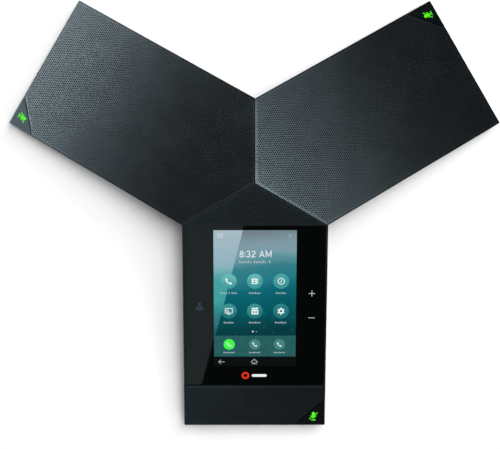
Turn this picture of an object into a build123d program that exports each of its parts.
"""A three-armed conference phone for a desk, as an assembly of separate parts.

Three equal arms meet at a low peak. Each arm's top, its deck, slopes down from the peak to the
tip, and two neighbouring decks meet along a ridge. The front arm carries a portrait touch screen
under glass. The other decks are perforated grilles over a loudspeaker in the hub. One corner of
each tip is a mute key with a lit symbol.

Units are millimetres, +Z is up and the table is at Z = 0. The parts are built round the star's
upright axis, and moved at the end so that the origin is under the middle of the whole outline.
"""

from build123d import *
from math import cos, radians, sin, sqrt, tan
import os

# ---------------------------------------------------------------- driving dimensions
overall_width = 383.6
arm_width = 110.0
apex_height = 76.0
deck_slope = 16.0
band_depth = 12.0  # height of the upper housing's side band, square to the deck
side_lean = 18.0  # the lower walls lean in by this much below the band
tip_lean = 30.0

rim = 1.4  # width of the housing's edge seen round the grilles
wall = 2.6
floor_bottom = 2.5
floor_top = 5.0
fit_gap = 0.15
parting_gap = 0.3

grille_thickness = 1.2
scrim_thickness = 0.3
deck_top = 1.5  # depths below the deck's surface; the glass fills the upper one
deck_bottom = 3.6
ridge_rib = 0.8
ridge_gap = 0.9  # from a ridge to the grille beside it

glass_start = 33.6  # distances down the slope from the peak
glass_end = 163.8
screen_start = 37.4
screen_height = 110.6
screen_width = 62.4

mute_leg_tip = 24.3  # the mute corner's length along the tip
mute_leg_side = 22.6  # and along the side
key_gap = 0.4
key_travel = 0.6
key_thickness = 1.6

corner_radius = 0.8
edge_chamfer = 0.3

board_z = 6.6
board_thickness = 1.6
board_half_width = 31.0
board_rear = 26.4
board_front = -128.0

bay_half_width = 33.0  # the cable bay under the rear notch
bay_panel = 30.0
bay_ceiling = 26.0
bay_wall = 2.2

# ---------------------------------------------------------------- derived dimensions
arm_length = (overall_width - arm_width / 2) / sqrt(3)
half_width = arm_width / 2
slope_cos = cos(radians(deck_slope))
slope_sin = sin(radians(deck_slope))
slope_tan = tan(radians(deck_slope))
deck_length = arm_length / slope_cos
ridge_steepness = sqrt(3) * slope_cos  # a ridge's sideways travel for each millimetre down the slope
board_top = board_z + board_thickness
arms = {"front": -90.0, "right": 30.0, "left": 150.0}
reach = 260.0  # larger than anything here, for cutting blocks

parts = {}


# ---------------------------------------------------------------- frames and outlines
def group(*solids):
    """Separate solids kept together in one part."""
    return Compound(list(solids))


def arm_axes(angle):
    """An arm's direction and its counter-clockwise side, both level."""
    along = Vector(cos(radians(angle)), sin(radians(angle)), 0)
    side = Vector(-sin(radians(angle)), cos(radians(angle)), 0)
    return along, side


def deck_frame(angle, depth=0.0):
    """A plane parallel to an arm's deck and depth below it. X runs down the slope from the peak."""
    along, _ = arm_axes(angle)
    normal = along * slope_sin + Vector(0, 0, slope_cos)
    down = along * slope_cos - Vector(0, 0, slope_sin)
    return Plane(origin=Vector(0, 0, apex_height) - normal * depth, x_dir=down, z_dir=normal)


def arm_point(angle, distance, sideways, z):
    """A point by its level distance along an arm, its sideways offset and its height."""
    along, side = arm_axes(angle)
    return along * distance + side * sideways + Vector(0, 0, z)


def convex_outline(limits):
    """The corners of the region where a*x + b*y <= c for each (a, b, c)."""
    corners = [(-reach, -reach), (reach, -reach), (reach, reach), (-reach, reach)]
    for a, b, c in limits:
        kept = []
        for (x0, y0), (x1, y1) in zip(corners, corners[1:] + corners[:1]):
            over0 = a * x0 + b * y0 - c
            over1 = a * x1 + b * y1 - c
            if over0 <= 0:
                kept.append((x0, y0))
            if over0 * over1 < 0:
                share = over0 / (over0 - over1)
                kept.append((x0 + share * (x1 - x0), y0 + share * (y1 - y0)))
        corners = kept
    return corners


def edge_limits(inset):
    """Keeps inset from an arm's two sides and its tip."""
    return [(0, 1, half_width - inset), (0, -1, half_width - inset), (1, 0, deck_length - inset)]


def ridge_limits(gap):
    """Keeps gap from an arm's two ridges."""
    norm = sqrt(1 + ridge_steepness**2)
    return [(-ridge_steepness / norm, side / norm, -gap) for side in (1, -1)]


def seam_limit(gap, beyond):
    """Keeps gap from the seam across the mute corner, on the corner's side if beyond is true."""
    norm = sqrt(mute_leg_tip**2 + mute_leg_side**2)
    a = mute_leg_tip / norm
    b = mute_leg_side / norm
    c = a * deck_length + b * (half_width - mute_leg_tip)
    return (-a, -b, -c - gap) if beyond else (a, b, c - gap)


def slab(angle, outline, top, bottom):
    """A plate of the given outline in an arm's deck frame, from depth top to depth bottom."""
    return extrude(deck_frame(angle, bottom) * Polygon(*outline, align=None), amount=bottom - top)


def deck_box(angle, x0, x1, y0, y1, top, bottom):
    """A rectangular block in an arm's deck frame."""
    return slab(angle, [(x0, y0), (x1, y0), (x1, y1), (x0, y1)], top, bottom)


def deck_disc(angle, x, y, radius, top, bottom):
    """A round plug square to an arm's deck."""
    return extrude(deck_frame(angle, bottom) * Pos(x, y) * Circle(radius), amount=bottom - top)


def level_box(x0, x1, y0, y1, z0, z1):
    """A block with its faces along the axes."""
    return Pos(x0, y0, z0) * Box(x1 - x0, y1 - y0, z1 - z0, align=(Align.MIN, Align.MIN, Align.MIN))


def post(point, radius, z0, z1):
    """An upright round post."""
    upright = (Align.CENTER, Align.CENTER, Align.MIN)
    return Pos(point.X, point.Y, z0) * Cylinder(radius, z1 - z0, align=upright)


def star_prism(inset, z0=0.0, z1=90.0):
    """The three-armed outline, drawn in by inset, as an upright prism."""
    side = half_width - inset
    corners = []
    for angle in sorted(arms.values()):
        for sideways in (-side, side):
            corner = arm_point(angle, arm_length - inset, sideways, 0)
            corners.append((corner.X, corner.Y))
        along, _ = arm_axes(angle + 60)
        notch = along * (2 * side / sqrt(3))
        corners.append((notch.X, notch.Y))
    return Pos(0, 0, z0) * extrude(Polygon(*corners, align=None), amount=z1 - z0)


def tip_edges(solid):
    """The corner edges at the arms' tips, upright or leaning."""
    corners = solid.edges().filter_by(lambda edge: abs((edge % 0.5).Z) > 0.1)
    return corners.filter_by(lambda edge: Vector((edge @ 0.5).X, (edge @ 0.5).Y, 0).length > 0.7 * arm_length)


def outline_distance(point):
    """How far a point lies inside the three-armed outline, measured to the nearest edge."""
    gaps = []
    for angle in arms.values():
        along, side = arm_axes(angle)
        if point.dot(along) > 0:
            gaps.append(min(arm_length - point.dot(along), half_width - abs(point.dot(side))))
    return max(gaps)


def under_decks(depth):
    """Everything more than depth below the three decks."""
    block = level_box(-reach, reach, -reach, reach, -10, 120)
    for angle in arms.values():
        block = split(block, bisect_by=deck_frame(angle, depth), keep=Keep.BOTTOM)
    return block


def deck_layer(top, bottom):
    """What lies between two depths below the decks."""
    return under_decks(top) - under_decks(bottom)


def leaning_star(inset=0.0):
    """The lower body. Its walls start at the band's lower edge and lean in towards the table."""
    parting_z = apex_height - band_depth / slope_cos
    body = None
    for angle in arms.values():
        along, side = arm_axes(angle)
        down = along * slope_cos - Vector(0, 0, slope_sin)
        arm = level_box(-reach, reach, -reach, reach, -10, 120)
        arm = split(arm, bisect_by=Plane(origin=(0, 0, 0), z_dir=along), keep=Keep.TOP)
        for out in (side, -side):
            lean = out * -sin(radians(side_lean)) - Vector(0, 0, cos(radians(side_lean)))
            normal = down.cross(lean).normalized()
            if normal.dot(out) < 0:
                normal = -normal
            edge = out * half_width + Vector(0, 0, parting_z) - normal * inset
            arm = split(arm, bisect_by=Plane(origin=edge, z_dir=normal), keep=Keep.BOTTOM)
        tip_normal = along * cos(radians(tip_lean)) - Vector(0, 0, sin(radians(tip_lean)))
        tip_edge = along * arm_length + Vector(0, 0, parting_z - arm_length * slope_tan)
        tip_plane = Plane(origin=tip_edge - tip_normal * inset, z_dir=tip_normal)
        arm = split(arm, bisect_by=tip_plane, keep=Keep.BOTTOM)
        body = arm if body is None else body + arm
    return body


# ---------------------------------------------------------------- places shared by several parts
housing_screw_spots = [arm_point(angle, 148, side, 0) for angle in arms.values() for side in (-42, 42)]
board_screw_spots = [Vector(x, y, 0) for x in (-26, 26) for y in (-121, -60, -34)]
speaker_screw_spots = [arm_point(angle, 35.5, 0, 0) for angle in (45, 135, 225, 315)]
enclosure_leg_spots = [Vector(-37.5, -12, 0), Vector(37.5, -12, 0)]
reset_spot = Vector(12, -20, 0)
mic_x = 183.0
mic_y = -10.0
icon_x = 189.6  # the mute symbol's middle in the deck frame
icon_y = 46.0
foot_distance = 169.0
mute_board_posts = [(189.3, 32.5), (175.7, 47.1)]
bar_start = 32.5  # the thin plain bar between the hub's grille and the glass

# openings in the front deck for what sits under the glass: screen, volume keys, aerial and status light
glass_windows = [
    (35.1, 154.0, -33.4, 33.4),
    (78.0, 118.0, 35.6, 49.4),
    (82.0, 115.0, -50.0, -35.6),
    (156.8, 160.4, -10.5, 10.5),
]
icon_depth = 0.8
switch_top = key_thickness + 4.8
switch_bottom = 9.0

jack_mouth = bay_panel - 0.4
jack_depth = 18.0
jack_width = 15.9
jack_height = 13.4
lan_x = -22.0
pc_x = -4.4
usb_x = 12.4
usb_width = 13.2
usb_height = 5.8
micro_x = 25.2
micro_width = 7.6
micro_height = 2.8


# ---------------------------------------------------------------- housings
def upper_housing():
    """The top casing: a band round the arms, and a recessed deck for the grilles and the glass."""
    block = fillet(tip_edges(star_prism(0)), corner_radius) & under_decks(0)
    crest = block.faces().filter_by(lambda face: face.normal_at().Z > 0.5).edges()
    border = crest.filter_by(lambda edge: outline_distance(edge @ 0.5) < 0.01)
    shell = chamfer(border, edge_chamfer) - under_decks(band_depth)
    shell -= star_prism(rim) & deck_layer(-2, deck_top)
    shell -= star_prism(wall) & deck_layer(deck_bottom, band_depth + 3)
    ridge_top = deck_layer(0, deck_top + 0.1)
    for angle in arms.values():
        length = 2 * (half_width - rim / 2) / sqrt(3)
        ridge = Rot(0, 0, angle + 60) * level_box(0, length, -ridge_rib / 2, ridge_rib / 2, 0, 90)
        shell += ridge & ridge_top
    shell -= post(Vector(0, 0, 0), 29.5, 40, 90) & deck_layer(deck_top, band_depth)
    for name, angle in arms.items():
        well = convex_outline(edge_limits(wall) + [seam_limit(0.0, True)])
        shell -= slab(angle, well, deck_top - 1, deck_bottom + 1)
        sunk_edge = convex_outline(edge_limits(rim) + [seam_limit(0.0, True)])
        shell -= slab(angle, sunk_edge, 0, key_thickness + key_travel + 0.1)
        shell -= deck_disc(angle, mic_x, mic_y, 3.0, deck_top - 1, deck_bottom + 1)
        if name != "front":
            for x0, x1 in ((44, 84), (88, 130), (134, 174)):
                for y0, y1 in ((-37, -1.5), (1.5, 37)):
                    shell -= deck_box(angle, x0, x1, y0, y1, deck_top - 1, deck_bottom + 1)
    front = arms["front"]
    for x0, x1, y0, y1 in glass_windows:
        shell -= deck_box(front, x0, x1, y0, y1, deck_top - 1, deck_bottom + 1)
    bar_side = half_width - 1
    shell += deck_box(front, bar_start, glass_start - fit_gap, -bar_side, bar_side, 0, deck_top + 0.1)
    below_deck = under_decks(deck_bottom - 0.5)
    for spot in housing_screw_spots:
        shell += post(spot, 3.6, 20.4, 60) & below_deck
        shell -= post(spot, 1.45, 15, 27.5)
    for angle in arms.values():
        for x, y in mute_board_posts:
            shell += deck_disc(angle, x, y, 1.8, deck_bottom - 0.5, switch_bottom)
    return shell


def base_housing():
    """The lower casing: leaning walls, a flat floor, a lip into the upper housing, the cable bay."""
    above_table = level_box(-reach, reach, -reach, reach, floor_bottom, 90)
    outer = fillet(tip_edges(leaning_star()), corner_radius)
    outer &= under_decks(band_depth + parting_gap) & above_table
    inner = leaning_star(wall - 0.2) & level_box(-reach, reach, -reach, reach, floor_top, 90)
    shell = outer - inner
    lip = star_prism(wall + 0.2) - star_prism(wall + 1.7)
    lip &= deck_layer(band_depth - 3.0, band_depth + 7.0)
    shell += lip & (leaning_star() + (star_prism(wall) & deck_layer(band_depth - 3.0, band_depth + 0.5)))
    bay_side = bay_half_width + bay_wall
    bay_top = bay_ceiling + bay_wall
    bay_shell = level_box(-bay_side, bay_side, bay_panel - bay_wall, 100, floor_bottom, bay_top)
    shell += bay_shell & outer
    shell -= level_box(-bay_half_width, bay_half_width, bay_panel, 110, -1, bay_ceiling)
    for spot in housing_screw_spots:
        shell += post(spot, 5.0, floor_bottom, 20.0)
        shell -= post(spot, 3.2, 0, 8.0)
        shell -= post(spot, 1.7, 0, 25.0)
    for spot in board_screw_spots:
        shell += post(spot, 3.0, floor_bottom, board_z)
        shell -= post(spot, 1.3, floor_bottom + 0.9, board_z + 1)
    # connector apertures in the bay's panel
    clear = 0.25
    for x in (lan_x, pc_x):
        shell -= panel_hole(x, jack_width, jack_height, clear)
    shell -= panel_hole(usb_x, usb_width, usb_height, clear)
    shell -= panel_hole(micro_x, micro_width, micro_height, clear)
    # the lock slot in the bay's side, and its clearance behind
    shell -= level_box(bay_half_width - 1, bay_side + 1, 40.5, 47.5, 12.5, 15.5)
    # foot pockets, label recess, reset hole and cooling slots under the board
    for angle in arms.values():
        shell -= foot(angle, 0.1)
    shell -= level_box(-26, 26, -108, -76, -1, floor_bottom + 0.3) & under_label()
    shell -= post(reset_spot, 1.7, 0, floor_top + 1)
    for row in range(-3, 4):
        x = row * 6.0
        slot = extrude(SlotOverall(22, 2.4, rotation=90), amount=6, both=True)
        shell -= Pos(x, 10, floor_top - 1) * slot
    return shell


def panel_hole(x, width, height, clear):
    """A rectangular hole through the bay's panel, clear all round a connector on the board."""
    side = width / 2 + clear
    z0 = board_top - clear
    z1 = board_top + height + clear
    return level_box(x - side, x + side, bay_panel - bay_wall - 1, bay_panel + 1, z0, z1)


def under_label():
    """The outline of the rating label, as a tall block."""
    return Pos(0, -92, 0) * extrude(RectangleRounded(50.4, 28.4, 2.2), amount=20, both=True)


def foot(angle, clearance=0.0):
    """A rubber pad under an arm's tip, let into the floor."""
    at = arm_point(angle, foot_distance, 0, 0)
    pad = SlotOverall(64 + 2 * clearance, 12 + 2 * clearance, rotation=angle + 90)
    return Pos(at.X, at.Y, 0) * extrude(pad, amount=floor_bottom + 1.0 + clearance)


parts["upper_housing"] = upper_housing()
parts["base_housing"] = base_housing()
for name, angle in arms.items():
    parts[f"foot_{name}"] = foot(angle)
parts["rating_label"] = Pos(0, -92, floor_bottom) * extrude(RectangleRounded(50, 28, 2.0), amount=0.25)


# ---------------------------------------------------------------- grilles and their acoustic cloth
def grille_outline(edge, ridge, seam):
    """A rear deck's outline: pointed at the peak, with the mute corner cut off."""
    return convex_outline(edge_limits(edge) + ridge_limits(ridge) + [seam_limit(seam, False)])


edge_gap = rim + fit_gap
scrim_bottom = grille_thickness + scrim_thickness
for name in ("left", "right"):
    outline = grille_outline(edge_gap, ridge_gap, key_gap)
    parts[f"{name}_grille"] = slab(arms[name], outline, 0, grille_thickness)
    outline = grille_outline(wall, ridge_gap + 0.4, wall)
    parts[f"{name}_scrim"] = slab(arms[name], outline, grille_thickness, scrim_bottom)

hub_limits = ridge_limits(ridge_gap) + [(1, 0, bar_start - fit_gap)]
parts["hub_grille"] = slab(arms["front"], convex_outline(hub_limits), 0, grille_thickness)
hub_limits = ridge_limits(ridge_gap + 0.4) + [(1, 0, 31.5)]
parts["hub_scrim"] = slab(arms["front"], convex_outline(hub_limits), grille_thickness, scrim_bottom)

strip_limits = edge_limits(edge_gap) + [seam_limit(key_gap, False), (-1, 0, -glass_end - fit_gap)]
parts["front_grille"] = slab(arms["front"], convex_outline(strip_limits), 0, grille_thickness)
strip_limits = edge_limits(wall) + [seam_limit(wall, False), (-1, 0, -glass_end - 1.5)]
parts["front_scrim"] = slab(arms["front"], convex_outline(strip_limits), grille_thickness, scrim_bottom)


# ---------------------------------------------------------------- screen and what sits under the glass
front = arms["front"]
glass_side = half_width - edge_gap
parts["cover_glass"] = deck_box(front, glass_start, glass_end, -glass_side, glass_side, 0, deck_top)

module_start = screen_start - 1.9
module_end = screen_start + screen_height + 5.4
module_side = screen_width / 2 + 1.8
cell_bottom = 2.6
tray_bottom = 4.4
cell = deck_box(front, module_start, module_end, -module_side, module_side, deck_top, cell_bottom)
parts["lcd_cell"] = cell
tray = deck_box(front, module_start, module_end, -module_side, module_side, cell_bottom, tray_bottom)
parts["backlight_tray"] = tray

bracket = deck_box(front, 33.6, 156.0, -38.0, 38.0, deck_bottom, tray_bottom + 0.9)
bracket -= deck_box(front, 35.0, 154.4, -34.5, 34.5, deck_bottom - 1, tray_bottom)
for x0, x1 in ((44, 78), (84, 118)):
    bracket -= deck_box(front, x0, x1, -26, 26, tray_bottom - 1, tray_bottom + 2)
parts["lcd_bracket"] = bracket

touch_board = deck_box(front, 79.0, 117.0, 36.4, 48.6, deck_top, deck_top + 0.8)
parts["volume_touch_board"] = touch_board
antenna = deck_box(front, 83.0, 114.0, -49.2, -36.4, deck_top, deck_top + 0.8)
antenna -= deck_box(front, 87.5, 109.5, -44.6, -41.0, deck_top - 1, deck_top + 2)
parts["nfc_antenna"] = antenna
guide = deck_box(front, 157.2, 160.0, -10.0, 10.0, deck_top, deck_top + 3.2)
parts["status_light_guide"] = guide


def display_flex():
    """The thin flexible strip from the screen's lower end down to the main board."""
    start = deck_frame(front, tray_bottom + 1.0).from_local_coords(Vector(150.0, 0, 0))
    path = FilletPolyline(
        (start.Y, start.Z),
        (start.Y - 2.0, start.Z - 7.0),
        (-129.0, 15.0),
        (-121.0, board_top + 0.35),
        (-113.0, board_top + 0.35),
        radius=2.4,
    )
    strip = Plane.YZ * trace(path, line_width=0.3)
    return extrude(strip, amount=9, both=True)


parts["display_flex"] = display_flex()


# ---------------------------------------------------------------- mute keys, one in each tip
def mute_symbol():
    """A crossed-out microphone, upright when seen from past the tip, as a flat sketch."""
    capsule = Pos(-1.1, 0) * SlotOverall(4.6, 2.5)
    cradle = Pos(-0.8, 0) * (Circle(2.5) - Circle(1.9))
    cradle &= Pos(1.6, 0) * Rectangle(4.0, 6)
    stem = Pos(2.4, 0) * Rectangle(1.8, 0.7)
    foot_bar = Pos(3.5, 0) * Rectangle(0.8, 3.6)
    slash = Rotation(0, 0, -50) * Rectangle(8.6, 0.7)
    return capsule + cradle + stem + foot_bar + slash


def mute_key(angle):
    """The triangular cap with its actuator post and the hooks that hold it under the deck."""
    cap_limits = edge_limits(edge_gap + 0.1) + [seam_limit(key_gap, True)]
    cap = slab(angle, convex_outline(cap_limits), 0, key_thickness)
    web_limits = edge_limits(wall + 3.0) + [seam_limit(key_gap + 0.2, True)]
    web_limits += [flip(seam_limit(key_gap + 1.4, True))]
    web = slab(angle, convex_outline(web_limits), key_thickness - 0.2, deck_bottom + 1.2)
    hook_limits = edge_limits(wall + 4.5) + [seam_limit(-1.2, True)]
    hook_limits += [flip(seam_limit(key_gap + 1.4, True))]
    hook = slab(angle, convex_outline(hook_limits), deck_bottom + 0.1, deck_bottom + 1.2)
    actuator_end = switch_top - key_travel - 0.1
    actuator = deck_disc(angle, icon_x - 1.5, icon_y - 1.0, 1.6, key_thickness - 0.2, actuator_end)
    key = cap + web + hook + actuator
    return key - symbol_block(angle)


def flip(limit):
    """The other side of a limiting line."""
    a, b, c = limit
    return (-a, -b, -c)


def symbol_block(angle):
    """The mute symbol's light guide, let into the key's top."""
    return extrude(deck_frame(angle, icon_depth) * Pos(icon_x, icon_y) * mute_symbol(), amount=icon_depth)


def mute_board(angle):
    """The small board under a mute key, with its switch and two lamps."""
    limits = edge_limits(wall + 2.2) + [(-1, 0, -172.0), (0, -1, -28.5), seam_limit(-6.5, True)]
    plate = slab(angle, convex_outline(limits), switch_bottom, switch_bottom + 1.0)
    x = icon_x - 1.5
    y = icon_y - 1.0
    switch = deck_box(angle, x - 3, x + 3, y - 3, y + 3, switch_top, switch_bottom)
    x = icon_x + 3.0
    lamp_top = switch_bottom - 0.6
    lamps = []
    for y in (icon_y - 2.6, icon_y + 2.6):
        lamps.append(deck_box(angle, x - 0.8, x + 0.8, y - 0.4, y + 0.4, lamp_top, switch_bottom))
    return group(plate, switch, *lamps)


for name, angle in arms.items():
    parts[f"mute_key_{name}"] = mute_key(angle)
    parts[f"mute_icon_{name}"] = symbol_block(angle)
    parts[f"mute_board_{name}"] = mute_board(angle)


# ---------------------------------------------------------------- microphones
capsule_radius = 4.85
for name, angle in arms.items():
    boot = deck_disc(angle, mic_x, mic_y, 6.2, deck_bottom, deck_bottom + 7.0)
    boot -= deck_disc(angle, mic_x, mic_y, capsule_radius, deck_bottom + 1.0, deck_bottom + 5.6)
    boot -= deck_disc(angle, mic_x, mic_y, 2.4, deck_bottom - 1, deck_bottom + 8.0)
    parts[f"mic_boot_{name}"] = boot
    capsule = deck_disc(angle, mic_x, mic_y, capsule_radius, deck_bottom + 1.0, deck_bottom + 5.6)
    parts[f"mic_capsule_{name}"] = capsule


# ---------------------------------------------------------------- loudspeaker in the hub
flange_top = 58.0
flange_bottom = 56.5
gasket_bottom = 55.9
magnet_top = 43.0
coil_radius = 10.4


def ring(inner, outer, z0, z1):
    """An upright ring round the hub's axis, or a disc if inner is 0."""
    body = post(Vector(0, 0, 0), outer, z0, z1)
    return body - post(Vector(0, 0, 0), inner, z0 - 1, z1 + 1) if inner else body


def revolved(points):
    """A closed outline of (radius, z) points turned round the hub's axis."""
    return revolve(Plane.XZ * Polygon(*points, align=None), axis=Axis.Z)


def speaker_basket():
    """The driver's frame: a flange, a windowed cone and the plate that the magnet is fixed to."""
    basket = ring(30.6, 38.0, flange_bottom, flange_top)
    outside = [(32.0, 58.0), (32.0, 54.0), (18.0, 44.6), (18.0, 43.0), (12.6, 43.0)]
    inside = [(12.6, 44.4), (16.6, 44.4), (30.6, 53.9), (30.6, 58.0)]
    basket += revolved(outside + inside)
    for angle in (0, 90, 180, 270):
        window = Rot(0, 0, angle) * level_box(19.5, 29.0, -8, 8, 42, 53.5)
        basket -= window
    for spot in speaker_screw_spots:
        basket -= post(spot, 1.6, 50, 60)
    return basket


def speaker_magnet():
    """The magnet and its cup, with the gap that the coil moves in."""
    magnet = ring(0, 16.0, 33.0, magnet_top)
    return magnet - ring(coil_radius - 0.5, coil_radius + 0.9, 35.5, magnet_top + 1)


def speaker_cone():
    """The moving cone with its dust cap and coil former."""
    outline = [(26.3, 55.6), (26.3, 56.3), (12.6, 48.2), (0.0, 51.2), (0.0, 50.5)]
    return revolved(outline + [(10.4, 47.9), (10.4, 38.2), (10.9, 38.2), (10.9, 46.7)])


def speaker_surround():
    """The half-round rubber roll between the cone and the flange."""
    outside = [(27.1, 56.3), (27.6, 57.3), (28.6, 57.8), (29.6, 57.3), (30.1, 56.3), (30.6, 56.3)]
    inside = [(30.6, 55.7), (29.6, 55.7), (29.2, 56.6), (28.6, 57.0), (28.0, 56.6), (27.6, 55.7)]
    return revolved([(26.6, 55.7), (26.6, 56.3)] + outside + inside)


def speaker_enclosure():
    """The sealed cup behind the driver, on two legs and a pad over the cable bay."""
    cup = ring(0, 42.0, 30.0, gasket_bottom)
    cup -= ring(0, 40.0, 32.0, gasket_bottom - 2.0)
    cup -= ring(0, 33.0, 50.0, 60.0)
    for spot in enclosure_leg_spots:
        cup += post(spot, 3.5, floor_top, 31.0)
    cup += level_box(-6, 6, 32.0, 38.0, bay_ceiling + bay_wall, 31.0)
    for spot in speaker_screw_spots:
        cup += post(spot, 3.2, 46.0, gasket_bottom) & ring(0, 41.0, 40, 60)
        cup -= post(spot, 1.3, 47.5, 60)
    return cup


gasket = ring(33.0, 38.0, gasket_bottom, flange_bottom)
for spot in speaker_screw_spots:
    gasket -= post(spot, 1.6, 50, 60)
parts["speaker_gasket"] = gasket

seal = ring(31.2, 37.6, flange_top, 75) & under_decks(deck_bottom)
seal -= deck_box(front, 33.2, 60, -39, 39, 0, tray_bottom + 1.2)
for spot in speaker_screw_spots:
    seal -= post(spot, 2.9, 50, 75)
parts["speaker_seal"] = seal
parts["speaker_basket"] = speaker_basket()
parts["speaker_magnet"] = speaker_magnet()
parts["speaker_cone"] = speaker_cone()
parts["speaker_surround"] = speaker_surround()
parts["speaker_enclosure"] = speaker_enclosure()


# ---------------------------------------------------------------- main board and what is on it
def main_board():
    """The board that lies on the floor under the hub and the front arm."""
    board = level_box(-board_half_width, board_half_width, board_front, board_rear, board_z, board_top)
    for spot in board_screw_spots:
        board -= post(spot, 1.6, 0, 20)
    return board


def shield_can(x0, x1, y0, y1, height):
    """A pressed screening can, open below."""
    can = level_box(x0, x1, y0, y1, board_top, board_top + height)
    lid = board_top + height - 0.3
    return can - level_box(x0 + 0.3, x1 - 0.3, y0 + 0.3, y1 - 0.3, board_top - 1, lid)


def network_jack(x):
    """An eight-way socket: a screened box with the plug's cavity and its latch slot."""
    side = jack_width / 2
    top = board_top + jack_height
    jack = level_box(x - side, x + side, jack_mouth - jack_depth, jack_mouth, board_top, top)
    middle = board_top + 6.9
    jack -= level_box(x - 5.9, x + 5.9, jack_mouth - 14, jack_mouth + 1, middle - 3.4, middle + 3.4)
    jack -= level_box(x - 3.1, x + 3.1, jack_mouth - 9, jack_mouth + 1, middle - 5.2, middle - 3.3)
    for pin in range(8):
        pin_x = x + (pin - 3.5) * 1.02
        y0 = jack_mouth - 14.2
        jack += level_box(pin_x - 0.22, pin_x + 0.22, y0, y0 + 9.2, middle + 2.9, middle + 3.5)
    return jack


def socket_shell(x, width, depth, top, sheet):
    """A folded metal box on the board, open at the panel."""
    side = width / 2
    box = level_box(x - side, x + side, jack_mouth - depth, jack_mouth, board_top, top)
    side -= sheet
    hollow_end = jack_mouth - depth + 2 * sheet
    return box - level_box(x - side, x + side, hollow_end, jack_mouth + 1, board_top + sheet, top - sheet)


def usb_a_port():
    """A full-size flat socket: a folded shell and the tongue inside."""
    z1 = board_top + usb_height
    shell = socket_shell(usb_x, usb_width, 14.0, z1, 0.35)
    tongue = level_box(usb_x - 5.6, usb_x + 5.6, jack_mouth - 13.5, jack_mouth - 1.0, z1 - 2.8, z1 - 1.0)
    return shell + tongue


def micro_usb_port():
    """The small service socket."""
    z1 = board_top + micro_height
    shell = socket_shell(micro_x, micro_width, 5.6, z1, 0.3)
    y0 = jack_mouth - 5.1
    return shell + level_box(micro_x - 2.4, micro_x + 2.4, y0, y0 + 4.3, z1 - 1.5, z1 - 0.9)


header_spots = [(-28.0, 2.0), (28.0, 2.0), (-20.0, -106.0), (22.0, -48.0)]
lead_z = board_top + 2.2


def board_connectors():
    """The wire-to-board headers along the board's edges, and the reset switch."""
    top = board_top + 4.2
    headers = [level_box(x - 2.2, x + 2.2, y - 5, y + 5, board_top, top) for x, y in header_spots]
    headers.append(level_box(-10, 10, -119, -112, board_top, board_top + 0.2))
    return group(*headers)


parts["main_board"] = main_board()
parts["processor_shield"] = shield_can(-18, 16, -76, -42, 3.4)
parts["wireless_module"] = shield_can(-24, -6, -96, -80, 2.4)
power_parts = [level_box(-26, -14, -26, -14, board_top, board_top + 9)]
for x, y, radius, height in ((-2, -20, 5.0, 12.0), (8, -24, 3.1, 8.5), (16, -24, 3.1, 8.5)):
    power_parts.append(post(Vector(x, y, 0), radius, board_top, board_top + height))
parts["power_components"] = group(*power_parts)
parts["board_connectors"] = board_connectors()
parts["lan_port"] = network_jack(lan_x)
parts["pc_port"] = network_jack(pc_x)
parts["usb_a_port"] = usb_a_port()
parts["micro_usb_port"] = micro_usb_port()

button = post(reset_spot, 1.5, floor_bottom + 0.5, floor_top + 0.6)
button += post(reset_spot, 2.3, floor_top + 0.1, floor_top + 0.9)
parts["reset_button"] = button

plate = level_box(bay_half_width + bay_wall + 0.1, bay_half_width + bay_wall + 1.6, 36, 52, 9, 19)
parts["lock_plate"] = plate - level_box(bay_half_width, bay_half_width + 8, 40.4, 47.6, 12.4, 15.6)


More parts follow.
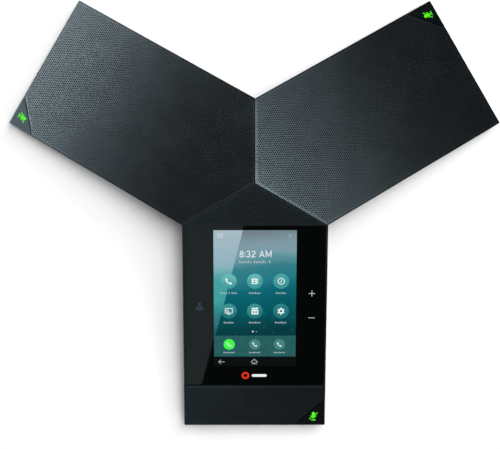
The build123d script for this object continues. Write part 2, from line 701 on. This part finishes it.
# ---------------------------------------------------------------- screws
def screw(spot, head_z, head_radius, head_height, shaft_radius, shaft_z, recess=0.5):
    """An upright screw. The head is at head_z, and the shaft ends at shaft_z, above or below it."""
    up = shaft_z > head_z
    base_z = head_z if up else head_z - head_height
    body = post(spot, head_radius, base_z, base_z + head_height)
    body += post(spot, shaft_radius, min(head_z, shaft_z), max(head_z, shaft_z))
    socket = extrude(RegularPolygon(head_radius * 0.5, 6), amount=head_height * recess)
    socket_z = base_z if up else base_z + head_height * (1 - recess)
    return body - Pos(spot.X, spot.Y, socket_z) * socket


parts["housing_screws"] = group(*[screw(s, 5.5, 2.7, 2.4, 1.4, 27.0) for s in housing_screw_spots])
board_screw = [screw(s, board_top + 1.8, 2.5, 1.7, 1.2, floor_bottom + 1.2) for s in board_screw_spots]
parts["board_screws"] = group(*board_screw)
speaker_screw = [screw(s, flange_top + 1.7, 2.4, 1.6, 1.2, 48.0) for s in speaker_screw_spots]
parts["speaker_screws"] = group(*speaker_screw)


# ---------------------------------------------------------------- leads inside the housing
def lead(points, radii, radius):
    """A round lead along straight runs joined by arcs."""
    path = FilletPolyline(*points, radius=radii)
    section = Plane(origin=path @ 0, z_dir=path % 0) * Circle(radius)
    return sweep(section, path=path)


def arm_lead(angle, stops):
    """From a header on the board out along an arm's floor to the mute board in its tip."""
    stops = stops + [arm_point(angle, 110, -6, 7.4), arm_point(angle, 152, 8, 7.4)]
    stops.append(arm_point(angle, 177, 33, 12.6))
    return lead(stops, [4, 20, 12], 1.2)


left_start = Vector(-30.3, 2, lead_z)
right_start = Vector(30.3, 2, lead_z)
front_start = Vector(-22.3, -106, lead_z)
left_lead = arm_lead(arms["left"], [left_start, left_start + Vector(-6, 0, 0)])
right_lead = arm_lead(arms["right"], [right_start, right_start + Vector(6, 0, 0)])
front_stops = [front_start, front_start + Vector(-14, 0, 0), Vector(-36.3, -140, 8.0)]
front_stops += [arm_point(front, 168, 4, 8.4), arm_point(front, 178, 33, 12.6)]
front_lead = lead(front_stops, [5, 10, 8], 1.2)
parts["arm_leads"] = group(left_lead, right_lead, front_lead)
header_start = Vector(24.3, -48, lead_z)
speaker_stops = [Vector(29.9, -29.9, 46), Vector(36, -36, 46), Vector(36, -48, lead_z), header_start]
parts["speaker_lead"] = lead(speaker_stops, [4, 4], 1.1)


# ---------------------------------------------------------------- write one file per part
os.makedirs("parts", exist_ok=True)
middle_y = parts["upper_housing"].bounding_box().center().Y
for name, shape in parts.items():
    export_step(Pos(0, -middle_y, 0) * shape, f"parts/{name}.step")
